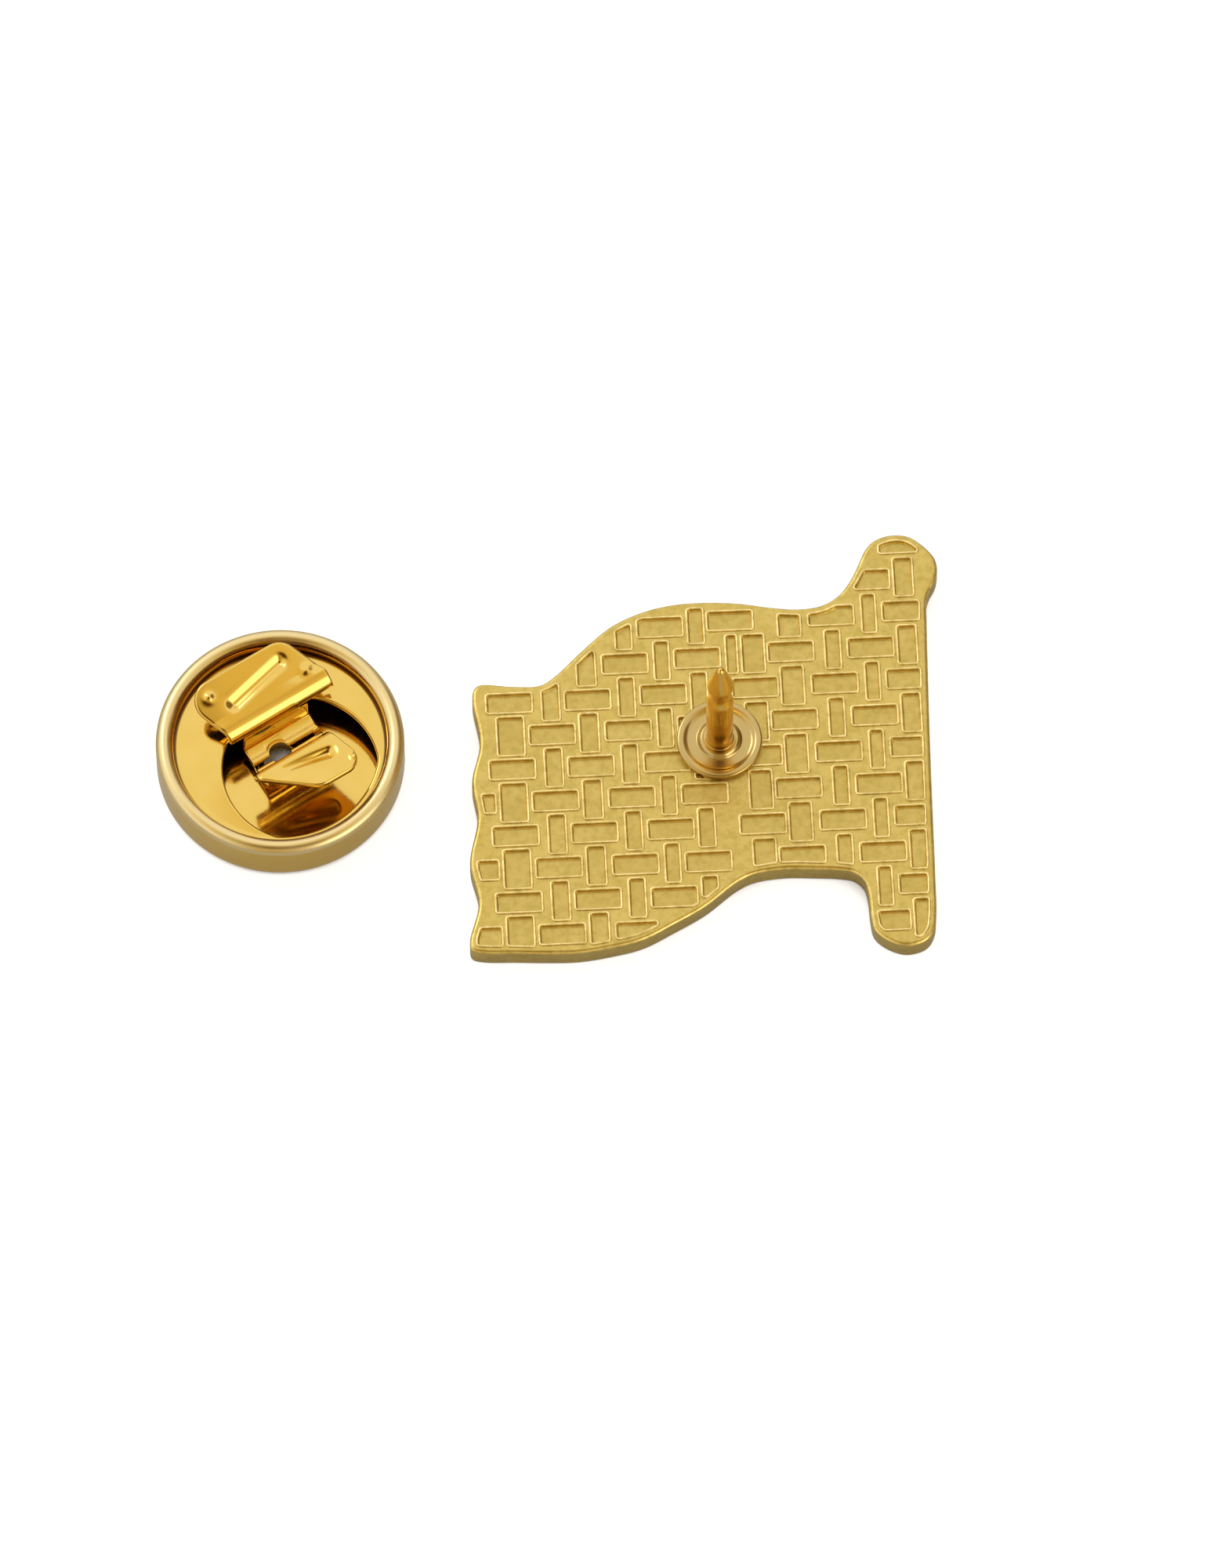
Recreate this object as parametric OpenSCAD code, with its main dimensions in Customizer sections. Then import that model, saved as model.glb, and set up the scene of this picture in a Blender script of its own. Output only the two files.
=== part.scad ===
// Flag lapel pin seen from its back, with its butterfly clutch taken off and lying beside it.
// Millimetres. The table is z = 0, the pin lies on its front and its post points up along +Z.

/* [Badge] */
// width of the badge, from the cloth's free edge to the side of the pole's head
badge_w = 21.66; // [18:0.1:25]
// height of the badge, from the cloth's lower edge to the top of the pole's head
badge_h = 21.4; // [18:0.1:25]
// thickness of the struck plate at its plain border
plate_t = 1.2; // [1:0.05:1.6]
// width of the plain border round the weave
border_w = 0.36; // [0.3:0.02:0.5]
// depth of the plain sunk field of the hidden front
front_sink = 0.2; // [0.1:0.05:0.3]

/* [Weave] */
// depth of the sunk bricks
brick_depth = 0.14; // [0.08:0.02:0.3]
// length of a lying brick
lying_l = 2.05; // [1.7:0.05:2.1]
// width of a lying brick
lying_w = 0.92; // [0.7:0.02:1.05]
// length of an upright brick
upright_l = 1.92; // [1.6:0.02:2.1]
// turn of the weave against the badge, in degrees
weave_turn = 2.8; // [0:0.1:6]

/* [Post] */
// height of the post's point above the plate's back
post_l = 7.95; // [6:0.05:9]
// diameter of the post's shaft
post_d = 1.24; // [1.1:0.02:1.3]
// diameter of the groove under the point
groove_d = 0.92; // [0.8:0.02:1]
// diameter of the soldered foot
foot_d = 4; // [3:0.1:4.5]
// thickness of the soldered foot at its lip
foot_t = 0.38; // [0.3:0.02:0.6]

/* [Clutch] */
// outer diameter of the cup
cup_d = 11.48; // [11:0.02:12]
// height of the cup's rolled rim
cup_h = 2.6; // [2.3:0.05:2.8]
// width of the rolled rim
rim_w = 0.8; // [0.6:0.02:0.84]
// thickness of the clutch's sheet
sheet_t = 0.34; // [0.3:0.02:0.4]
// diameter of the hole that the post goes through
hole_d = 1.5; // [1.4:0.02:1.6]
// distance of the clutch's middle from the post, to the left
clutch_x = -20.29; // [-24:0.01:-18.6]
// distance of the clutch's middle from the post, along the pole
clutch_y = -0.54; // [-4:0.01:4]
// turn of the wings against the badge, in degrees
wing_turn = 33; // [0:1:90]
// height of the wings' outer edges above the table
wing_h = 3.7; // [3.6:0.05:4]
// turn of the far wing's rib against its fold, in degrees
rib_turn_a = 12; // [0:1:15]
// turn of the near wing's rib against its fold, in degrees
rib_turn_b = 15; // [0:1:15]

/* [Hidden] */
eps = 0.01;

// knots of the badge's outline, measured from the post as [x, y], each stretch smooth
cloth_top = [
  [-11.43, 2.04], [-11.38, 2.66], [-11.1, 2.93], [-9.6, 2.86], [-8.3, 2.92], [-7.6, 3.4], [-6.45, 4.6],
  [-5, 5.94], [-3.55, 6.68], [-2.1, 7.06], [-0.5, 7.18], [1, 7.12], [2.4, 6.92], [3.7, 6.84], [4.75, 7.02],
  [5.54, 7.52], [6.02, 8.16], [6.36, 8.84]
];
pole_head = [[6.9, 10.04], [7.4, 10.46], [8.12, 10.66], [8.8, 10.58], [9.35, 10.24]];
head_bump = [[10, 9.52], [10.15, 8.96], [10.05, 8.3], [9.78, 7.76]];
pole_side = [[9.64, 7.2], [9.64, 6.2], [9.7, 2], [9.79, -2], [9.93, -7], [9.96, -8.7]];
pole_foot = [
  [9.86, -9.5], [9.5, -10.05], [8.6, -10.33], [7.7, -10.05], [7.1, -9.52], [6.93, -8.8], [6.82, -7.7],
  [6.62, -7.02], [6.16, -6.62]
];
cloth_bottom = [
  [5.5, -6.5], [4.4, -6.46], [3, -6.46], [1.6, -6.7], [0.8, -7.12], [-0.65, -8.34], [-2.1, -9.24],
  [-3.55, -10.04], [-5, -10.44], [-6.5, -10.7], [-8, -10.74], [-9.4, -10.72], [-10.9, -10.7]
];
cloth_side = [
  [-11.4, -10.56], [-11.5, -10.1], [-11.1, -8.16], [-11.51, -6.16], [-11.17, -3.9], [-11.43, -2.04],
  [-11.08, -0.06]
];
knots = concat(cloth_top, pole_head, head_bump, pole_side, pole_foot, cloth_bottom, cloth_side);
knots_w = max([for (k = knots) k.x]) - min([for (k = knots) k.x]);
knots_h = max([for (k = knots) k.y]) - min([for (k = knots) k.y]);

// columns of the weave as [place along a row, rise, step from row to row, width of its upright bricks,
// 1 where its lying bricks are in the odd rows and 0 where they are in the even ones]
columns = [
  [-1.9, 0, 1.69, 0.7, 1], [0, 0, 1.69, 1.2, 0], [1.92, 0, 1.69, 0.74, 1], [3.64, 0, 1.69, 0.8, 0],
  [5.45, 0, 1.705, 0.68, 1], [7.16, 0, 1.72, 0.62, 0], [8.82, 0, 1.73, 0.7, 1], [10.42, 0.07, 1.74, 0.46, 0],
  [11.42, 0.06, 1.74, 1, 0], [13.16, 0.08, 1.74, 1, 1], [15.12, 0.1, 1.74, 0.64, 0], [16.88, 0.12, 1.74, 0.6, 1],
  [18.56, 0.18, 1.74, 0.84, 0]
];
// the column that is only above the foot, and its lowest row
short_column = 7;
short_from = 5;
// columns and rows of the bricks that the border or a neighbour would cut to a sliver
left_out = [[0, -2], [0, 0], [0, 3], [2, 5], [3, 6], [5, -3], [8, 6], [11, 8]];
weave_start = [-9.4, -4.8];
rows_up = 9;
rows_down = 4;
steps = 4;

function scaled(p) = [p.x * badge_w / knots_w, p.y * badge_h / knots_h];

// one point of a curve through four knots, with even speed over uneven knots
function mix(a, b, ta, tb, t) = (a * (tb - t) + b * (t - ta)) / (tb - ta);
function curve_point(a, b, c, d, s) =
  let (t1 = sqrt(norm(b - a)), t2 = t1 + sqrt(norm(c - b)), t3 = t2 + sqrt(norm(d - c)))
  let (t = t1 + s * (t2 - t1))
  let (ab = mix(a, b, 0, t1, t), bc = mix(b, c, t1, t2, t), cd = mix(c, d, t2, t3, t))
  mix(mix(ab, bc, 0, t2, t), mix(bc, cd, t1, t3, t), t1, t2, t);

function closed_curve(k) =
  let (n = len(k))
  [for (i = [0:n - 1], s = [0:steps - 1])
    curve_point(k[(i + n - 1) % n], k[i], k[(i + 1) % n], k[(i + 2) % n], s / steps)];

function open_curve(k) =
  let (n = len(k), first = 2 * k[0] - k[1], last = 2 * k[n - 1] - k[n - 2], all = concat([first], k, [last]))
  concat([for (i = [0:n - 2], s = [0:steps - 1]) curve_point(all[i], all[i + 1], all[i + 2], all[i + 3], s / steps)],
    [k[n - 1]]);

// a point moved to the right of its path's direction
function right_of(before, here, after, by) =
  let (way = (after - before) / norm(after - before))
  here + by * [way.y, -way.x];

// a closed path moved inwards, without the points that would come too near to it at tight corners
function inset(p, by) =
  let (n = len(p))
  [for (i = [0:n - 1])
    let (moved = right_of(p[(i + n - 1) % n], p[i], p[(i + 1) % n], by))
    if (min([for (q = p) norm(moved - q)]) > 0.96 * by) moved];

// a strip of even thickness along an open path
function strip(p, t) =
  let (n = len(p))
  let (edge = function (by) [for (i = [0:n - 1]) right_of(p[max(i - 1, 0)], p[i], p[min(i + 1, n - 1)], by)])
  let (far = edge(t / 2))
  concat(edge(-t / 2), [for (i = [n - 1:-1:0]) far[i]]);

outline = closed_curve([for (k = knots) scaled(k)]);
field = inset(outline, border_w);

// the table's origin lies under the middle of everything
cup_r = cup_d / 2;
low_x = clutch_x - cup_r;
high_x = max([for (p = outline) p.x]);
low_y = min([for (p = outline) p.y]);
high_y = max([for (p = outline) p.y]);
middle = [(low_x + high_x) / 2, (low_y + high_y) / 2, 0];

// post, drawn as radius and height over the plate's back
post_r = post_d / 2;
foot_r = foot_d / 2;
collar_r = 0.92;
collar_h = foot_t + 0.1;
dish_h = foot_t - 0.12;
point_l = 1.9;
groove_z = post_l - 2.9;
shaft_top = post_l - 3.4;

// cup
rim_r = rim_w / 2;
lip_z = 1.84;
seat_gap = 0.04;
wall_r = cup_r - sheet_t;
hole_r = hole_d / 2;
corner_r = 0.5;
boss_r = 1.25;
boss_h = sheet_t + 0.14;

// spring plate
plate_r = wall_r - 0.12;
dome_rise = 0.42;
dome_r = 1.2;
opening_r = 3.6;
opening_at = [0.2, -1.45];
fold_v = 1.44;

// wings
wing_t = 0.32;
jaw_z = 1.05;
jaw_gap = 0.12;
jaw_r = 0.5;
leg_u = [-1.4, 2.2];
leg_v = 1.08;
leg_top = 2;
pivot_z = 1.65;
wall_z = lip_z + dome_rise + 0.15;
rib_r = 0.34;

// each wing's plan as corners [u, v, rounding], then the radius of its crest with the slope of its lip in degrees,
// and its rib as [u, v, length]
far_plan = [[-2, 0, 0], [-2, 1.3, 0], [-3.05, 3.97, 1], [2.6, 3.97, 1], [3.6, 1.7, 0.3], [3.6, 0, 0]];
far_crest = [0.87, 14];
far_rib = [0.48, 2.79, 2.9];
near_plan = [[-1.9, 0, 0], [-2.1, 1.5, 0.3], [0.1, 3.5, 1], [2.6, 3.5, 0.8], [2.1, 1.5, 0.3], [1.8, 0, 0]];
near_crest = [0.6, 10];
near_rib = [0.3, 1.86, 2.1];

module weave() {
  translate(weave_start)
    rotate(weave_turn)
      for (i = [0:len(columns) - 1], j = [-rows_down:rows_up])
        if (len([for (b = left_out) if (b == [i, j]) b]) == 0 && (i != short_column || j >= short_from))
          translate([columns[i][0], columns[i][1] + j * columns[i][2]])
            if (abs(j) % 2 == columns[i][4]) square([lying_l, lying_w], center = true);
            else square([columns[i][3], upright_l], center = true);
}

module post() {
  rotate_extrude($fn = 96)
    polygon([
      [0, -eps], [foot_r, -eps], [foot_r, foot_t - 0.12], [foot_r - 0.05, foot_t - 0.03], [foot_r - 0.14, foot_t],
      [foot_r - 0.26, foot_t - 0.02], [foot_r - 0.5, dish_h + 0.02], [collar_r + 0.1, dish_h],
      [collar_r, dish_h + 0.06], [collar_r - 0.03, collar_h - 0.06], [collar_r - 0.12, collar_h],
      [post_r + 0.04, collar_h - 0.06], [post_r, collar_h - 0.04], [post_r, shaft_top],
      [post_r - 0.03, shaft_top + 0.1], [groove_d / 2, groove_z - 0.1], [groove_d / 2, groove_z + 0.2],
      [post_r - 0.05, post_l - point_l - 0.25], [post_r, post_l - point_l], [post_r - 0.06, post_l - point_l + 0.2],
      [0.14, post_l - 0.16], [0.07, post_l - 0.03], [0, post_l]
    ]);
}

module front_field() {
  translate([0, 0, -eps])
    linear_extrude(front_sink + eps)
      intersection() {
        polygon(inset(outline, 2 * border_w));
        translate([low_x, low_y]) square([6.9 - low_x, high_y - low_y]);
      }
}

module badge() {
  color([0.82, 0.69, 0.38])
    translate(-middle)
      union() {
        difference() {
          linear_extrude(plate_t) polygon(outline);
          translate([0, 0, plate_t - brick_depth])
            linear_extrude(brick_depth + eps)
              intersection() {
                polygon(field);
                weave();
              }
          front_field();
        }
        translate([0, 0, plate_t]) post();
      }
}

// everything of the clutch is drawn round its own axis, with u along the wings' folds
module at_clutch() {
  translate([clutch_x, clutch_y, 0] - middle) rotate(wing_turn) children();
}

module clutch_cup() {
  bead = [for (a = [0:15:180]) [cup_r - rim_r + rim_r * cos(a), cup_h - rim_r + rim_r * sin(a)]];
  corner = [for (a = [270:15:360]) [cup_r - corner_r + corner_r * cos(a), corner_r + corner_r * sin(a)]];
  color([0.86, 0.74, 0.42])
    at_clutch()
      rotate_extrude($fn = 144)
        polygon(concat(
          [[hole_r, 0]], corner, bead,
          [[cup_r - rim_w, lip_z], [wall_r, lip_z], [wall_r, corner_r + 0.1], [wall_r - 0.15, sheet_t + 0.1]],
          [[wall_r - 0.4, sheet_t], [boss_r, sheet_t], [boss_r - 0.15, boss_h], [hole_r, boss_h]]
        ));
}

module spring_plate() {
  top = lip_z - seat_gap;
  color([0.84, 0.7, 0.36])
    at_clutch()
      difference() {
        rotate_extrude($fn = 144)
          polygon([
            [0, top + dome_rise - sheet_t], [dome_r, top + dome_rise - sheet_t], [plate_r - 0.9, top - sheet_t + 0.06],
            [plate_r - 0.5, top - sheet_t], [plate_r, top - sheet_t], [plate_r, top], [plate_r - 0.45, top],
            [plate_r - 0.85, top + 0.06], [dome_r, top + dome_rise], [0, top + dome_rise]
          ]);
        translate([0, 0, -1])
          linear_extrude(6)
            intersection() {
              translate(opening_at) circle(r = opening_r, $fn = 96);
              translate([-6, fold_v - 12]) square([12, 12]);
              circle(r = plate_r - 0.72, $fn = 96);
            }
      }
}

// the bent sheet of a wing in its own v and z: the jaw and leg, and the wall, crest and lip
function leg_path() = open_curve([
  [jaw_gap, jaw_z], [0.6, jaw_z], [leg_v - 0.1, jaw_z + 0.1], [leg_v, jaw_z + 0.36], [leg_v, leg_top]
]);
function reach(plan) = max([for (p = plan) p.y]);
function lip_height(v, plan, crest) = wing_h - wing_t / 2 - (reach(plan) - v) * tan(crest[1]);
function lip_path(plan, crest) =
  let (r = crest[0], slope = crest[1], v = leg_v + r, end_v = reach(plan) + 0.3)
  let (z = lip_height(v - r * sin(slope), plan, crest) - r * cos(slope))
  concat(
    [[leg_v, pivot_z]],
    [for (k = [0:8]) let (a = 180 - k * (90 - slope) / 8) [v + r * cos(a), z + r * sin(a)]],
    [[end_v, lip_height(end_v, plan, crest)]]
  );

module bent_sheet(path) {
  rotate([90, 0, 90]) translate([0, 0, -4]) linear_extrude(8) polygon(strip(path, wing_t));
}

// a corner of a path turned into an arc that touches both of its sides
function round_corner(a, b, c, r) =
  let (to_a = (a - b) / norm(a - b), to_c = (c - b) / norm(c - b), half = acos(to_a * to_c) / 2)
  let (centre = b + (to_a + to_c) / norm(to_a + to_c) * r / sin(half))
  let (first = b + to_a * r / tan(half) - centre, last = b + to_c * r / tan(half) - centre)
  [for (k = [0:8]) let (way = mix(first, last, 0, 8, k)) centre + r * way / norm(way)];

function flat(p) = [p.x, p.y];

// the wall and lip seen from above
module lip_plan(plan) {
  polygon([
    for (i = [0:len(plan) - 1])
      let (a = flat(plan[max(i - 1, 0)]), b = flat(plan[i]), c = flat(plan[min(i + 1, len(plan) - 1)]))
      each plan[i].z > 0 ? round_corner(a, b, c, plan[i].z) : [b]
  ]);
}

// a long drop with round ends, lying from one point to another
module bar(from, to, r) {
  way = to - from;
  l = norm(way);
  near_end = [for (a = [-90:15:0]) [r * cos(a), r * sin(a)]];
  far_end = [for (a = [0:15:90]) [r * cos(a), l + r * sin(a)]];
  translate(from)
    rotate([0, acos(way.z / l), atan2(way.y, way.x)])
      rotate_extrude($fn = 48)
        polygon(concat(near_end, far_end));
}

// the wall and lip seen from the fold: only the leg's width goes down through the plate's opening
module lip_front() {
  polygon([
    [leg_u[0], pivot_z], [leg_u[1], pivot_z], [leg_u[1], wall_z], [4, wall_z], [4, 6], [-4, 6], [-4, wall_z],
    [leg_u[0], wall_z]
  ]);
}

module lip(plan, crest, rib, rib_turn) {
  rib_half = rib[2] / 2 * [cos(rib_turn), sin(rib_turn), 0];
  rib_z = lip_height(rib.y, plan, crest);
  middle_below = [rib.x, rib.y, rib_z - 0.1];
  middle_above = [rib.x, rib.y, rib_z + 0.22];
  difference() {
    union() {
      intersection() {
        bent_sheet(lip_path(plan, crest));
        linear_extrude(6) lip_plan(plan);
        rotate([90, 0, 0]) translate([0, 0, -5]) linear_extrude(6) lip_front();
      }
      bar(middle_below - rib_half, middle_below + rib_half, rib_r);
    }
    bar(middle_above - rib_half, middle_above + rib_half, rib_r);
  }
}

// one wing on the far side of the fold
module wing(plan, crest, rib, rib_turn) {
  union() {
    difference() {
      intersection() {
        bent_sheet(leg_path());
        translate([leg_u[0], 0, 0]) cube([leg_u[1] - leg_u[0], 2, 4]);
      }
      cylinder(r = jaw_r, h = 3, center = true, $fn = 64);
    }
    lip(plan, crest, rib, rib_turn);
  }
}

module wing_a() {
  color([0.88, 0.76, 0.42]) at_clutch() wing(far_plan, far_crest, far_rib, rib_turn_a);
}

module wing_b() {
  color([0.88, 0.76, 0.42]) at_clutch() mirror([0, 1, 0]) wing(near_plan, near_crest, near_rib, rib_turn_b);
}

badge();
clutch_cup();
spring_plate();
wing_a();
wing_b();
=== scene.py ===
import bpy, bmesh, math
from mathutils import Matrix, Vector


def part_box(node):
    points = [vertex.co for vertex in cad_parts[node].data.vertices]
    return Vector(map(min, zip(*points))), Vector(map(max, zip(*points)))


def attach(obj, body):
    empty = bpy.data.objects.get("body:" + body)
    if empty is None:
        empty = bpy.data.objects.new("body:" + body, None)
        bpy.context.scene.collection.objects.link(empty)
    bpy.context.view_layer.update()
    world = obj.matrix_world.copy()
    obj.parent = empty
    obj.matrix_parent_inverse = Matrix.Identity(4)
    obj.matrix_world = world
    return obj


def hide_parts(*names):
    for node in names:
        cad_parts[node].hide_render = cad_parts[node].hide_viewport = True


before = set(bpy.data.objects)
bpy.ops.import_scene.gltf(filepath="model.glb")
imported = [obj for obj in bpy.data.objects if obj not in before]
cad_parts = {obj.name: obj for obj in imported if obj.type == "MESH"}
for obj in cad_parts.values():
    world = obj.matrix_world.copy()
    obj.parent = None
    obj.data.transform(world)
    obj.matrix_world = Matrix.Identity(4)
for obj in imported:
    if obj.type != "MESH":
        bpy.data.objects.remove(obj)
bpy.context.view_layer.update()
scene = bpy.context.scene
mm = 0.001
mergeReach = 0.002 * mm  # points nearer to each other than this become one
sliverReach = 0.0005 * mm

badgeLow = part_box("badge")[0]
cupLow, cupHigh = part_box("clutch_cup")
clutchAxis = ((cupLow[0] + cupHigh[0]) / 2 / mm, (cupLow[1] + cupHigh[1]) / 2 / mm)


# Shared helpers, all in millimetres until a mesh is made

def newMesh(name, points, faces, material, smoothAngle=40):
    mesh = bpy.data.meshes.new(name)
    mesh.from_pydata([Vector(p) * mm for p in points], [], faces)
    piece = bpy.data.objects.new(name, mesh)
    scene.collection.objects.link(piece)
    tidyShell(piece, smoothAngle)
    mesh.materials.append(material)
    return piece


def tidyShell(piece, smoothAngle):
    shell = bmesh.new()
    shell.from_mesh(piece.data)
    bmesh.ops.remove_doubles(shell, verts=shell.verts, dist=mergeReach)
    bmesh.ops.dissolve_degenerate(shell, edges=shell.edges, dist=sliverReach)
    bmesh.ops.recalc_face_normals(shell, faces=shell.faces)
    shell.to_mesh(piece.data)
    shell.free()
    for face in piece.data.polygons:
        face.use_smooth = True
    piece.data.set_sharp_from_angle(angle=math.radians(smoothAngle))


def madeSolid(guide, name):
    # the plain mesh that a guide curve's modifier makes, in place of the guide
    evaluated = guide.evaluated_get(bpy.context.evaluated_depsgraph_get())
    mesh = bpy.data.meshes.new_from_object(evaluated)
    bpy.data.objects.remove(guide)
    piece = bpy.data.objects.new(name, mesh)
    scene.collection.objects.link(piece)
    return piece


def smoothThrough(knots, steps, closed=True):
    def mix(a, b, ta, tb, t):
        return (a * (tb - t) + b * (t - ta)) / (tb - ta)
    knots = [Vector(k) for k in knots]
    if not closed:
        knots = [2 * knots[0] - knots[1]] + knots + [2 * knots[-1] - knots[-2]]
    count = len(knots)
    path = []
    for i in range(count) if closed else range(1, count - 2):
        a, b, c, d = (knots[(i + k) % count] for k in (-1, 0, 1, 2))
        t1 = math.sqrt((b - a).length)
        t2 = t1 + math.sqrt((c - b).length)
        t3 = t2 + math.sqrt((d - c).length)
        for s in range(steps):
            t = t1 + s / steps * (t2 - t1)
            ab, bc, cd = mix(a, b, 0, t1, t), mix(b, c, t1, t2, t), mix(c, d, t2, t3, t)
            path.append(mix(mix(ab, bc, 0, t2, t), mix(bc, cd, t1, t3, t), t1, t2, t))
    if not closed:
        path.append(knots[-2])
    return path


def turned(profile, turns):
    # a profile of [radius, height] turned round the upright axis, open at its two ends
    points, faces = [], []
    for i in range(turns):
        a = 2 * math.pi * i / turns
        points += [(r * math.cos(a), r * math.sin(a), z) for r, z in profile]
    rows = len(profile)
    for i in range(turns):
        j = (i + 1) % turns
        for k in range(rows - 1):
            faces.append((i * rows + k, j * rows + k, j * rows + k + 1, i * rows + k + 1))
    return points, faces


def roundedProfile(corners, steps=6, mostOfSide=0.49):
    # corners are [radius, height, rounding]; each is turned into an arc that meets both sides smoothly
    path = []
    for i, (r, z, rounding) in enumerate(corners):
        here = Vector((r, z))
        if rounding == 0 or i in (0, len(corners) - 1):
            path.append(here)
            continue
        back = Vector(corners[i - 1][:2]) - here
        ahead = Vector(corners[i + 1][:2]) - here
        cut = min(rounding, back.length * mostOfSide, ahead.length * mostOfSide)
        start, end = here + back.normalized() * cut, here + ahead.normalized() * cut
        for s in range(steps + 1):
            t = s / steps
            path.append(start * (1 - t) ** 2 + here * 2 * t * (1 - t) + end * t ** 2)
    return [(p.x, p.y) for p in path]


# Helpers for node trees, and the shader groups that more than one metal uses

def nodeGroup(name, inputs, outputs):
    group = bpy.data.node_groups.new(name, "ShaderNodeTree")
    for label, kind, value in inputs:
        socket = group.interface.new_socket(label, in_out="INPUT", socket_type=kind)
        if value is not None:
            socket.default_value = value
    for label, kind in outputs:
        group.interface.new_socket(label, in_out="OUTPUT", socket_type=kind)
    return group, group.nodes.new("NodeGroupInput"), group.nodes.new("NodeGroupOutput")


def feed(tree, node, inputs):
    # joins or sets a node's inputs; in0, in1 and so on go by number, the others by name
    for key, value in inputs.items():
        socket = node.inputs[int(key[2:])] if key.startswith("in") else node.inputs[key.replace("_", " ")]
        if hasattr(value, "is_linked"):
            tree.links.new(value, socket)
        else:
            socket.default_value = value
    return node


def addNode(tree, kind, settings=None, **inputs):
    node = tree.nodes.new("ShaderNode" + kind)
    for key, value in (settings or {}).items():
        setattr(node, key, value)
    return feed(tree, node, inputs)


def placeGroup(tree, group, **inputs):
    node = tree.nodes.new("ShaderNodeGroup")
    node.node_tree = group
    return feed(tree, node, inputs)


def remap(tree, value, source, target=(0.0, 1.0), smooth=False):
    # spreads the values of one band over another
    kind = "SMOOTHSTEP" if smooth else "LINEAR"
    node = addNode(tree, "MapRange", {"interpolation_type": kind}, Value=value)
    for label, number in zip(("From Min", "From Max", "To Min", "To Max"), (*source, *target)):
        node.inputs[label].default_value = number
    return node.outputs[0]


def blend(tree, share, first, second):
    return addNode(tree, "Mix", {"data_type": "RGBA"}, in0=share, in6=first, in7=second).outputs[2]


def noiseOfSize(tree, vector, size, detail, roughness):
    scale = addNode(tree, "Math", {"operation": "DIVIDE"}, in0=1.0, in1=size)
    settings = {"Scale": scale.outputs[0], "Detail": detail, "Roughness": roughness}
    return addNode(tree, "TexNoise", None, Vector=vector, **settings).outputs["Fac"]


def makeStruckGrain():
    # fine grain of struck and blasted metal, as a height and a mask of slow blotches
    group, inlet, outlet = nodeGroup(
        "struckGrain",
        [
            ("Vector", "NodeSocketVector", None),
            ("Grain Size", "NodeSocketFloat", 0.12),
            ("Blotch Size", "NodeSocketFloat", 2.5),
        ],
        [("Height", "NodeSocketFloat"), ("Blotch", "NodeSocketFloat")],
    )
    place = inlet.outputs["Vector"]
    grain = noiseOfSize(group, place, inlet.outputs["Grain Size"], 3.0, 0.6)
    blotch = noiseOfSize(group, place, inlet.outputs["Blotch Size"], 2.0, 0.5)
    group.links.new(grain, outlet.inputs["Height"])
    group.links.new(blotch, outlet.inputs["Blotch"])
    return group


def makeHandling():
    # faint smudges from handling, as a mask for colour and roughness
    group, inlet, outlet = nodeGroup(
        "handling",
        [("Vector", "NodeSocketVector", None), ("Smudge Size", "NodeSocketFloat", 1.5)],
        [("Smudge", "NodeSocketFloat")],
    )
    smudge = noiseOfSize(group, inlet.outputs["Vector"], inlet.outputs["Smudge Size"], 4.0, 0.55)
    group.links.new(smudge, outlet.inputs["Smudge"])
    return group


struckGrain = makeStruckGrain()
handling = makeHandling()


def startMetal(name):
    material = bpy.data.materials.new(name)
    material.use_nodes = True
    tree = material.node_tree
    shader = tree.nodes["Principled BSDF"]
    shader.inputs["Metallic"].default_value = 1.0
    place = addNode(tree, "TexCoord")
    scale = (1 / mm, 1 / mm, 1 / mm)
    inMillimetres = addNode(tree, "Mapping", None, Vector=place.outputs["Object"], Scale=scale)
    return material, tree, shader, inMillimetres.outputs[0]


satinGoldLook = {
    "web": (0.63, 0.47, 0.135, 1),
    # the beads' colour is a painted highlight on their raised crests
    "bead": (0.99, 0.82, 0.4, 1),
    # the pits' floors get painted shade
    "pitShade": (0.57, 0.42, 0.12, 1),
    # the pits' walls get a painted highlight
    "pitWallHighlight": (0.95, 0.74, 0.26, 1),
    "blotch": (0.72, 0.57, 0.2, 1),
    "blotchSize": 1.8, "blotchBand": (0.35, 0.75), "blotchShare": 0.6,
    "mottle": (0.44, 0.33, 0.07, 1),
    "mottleSize": 0.34, "mottleBand": (0.42, 0.68), "mottleShare": 0.55,
    "roughness": (0.3, 0.42), "roughnessBand": (0.3, 0.7),
    "grainSize": 0.1, "grainHeight": 0.014 * mm, "grainStrength": 0.6,
    "swellHeight": 0.05 * mm,
    # the heights in mm between which one colour goes over into the next: a painted highlight on the raised
    # beads and on the pits' walls, and painted shade on the pits' floors
    "beadHighlightBand": (1.203, 1.222), "wallHighlightBand": (1.195, 1.165), "floorShadeBand": (1.1, 1.08),
}


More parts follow.
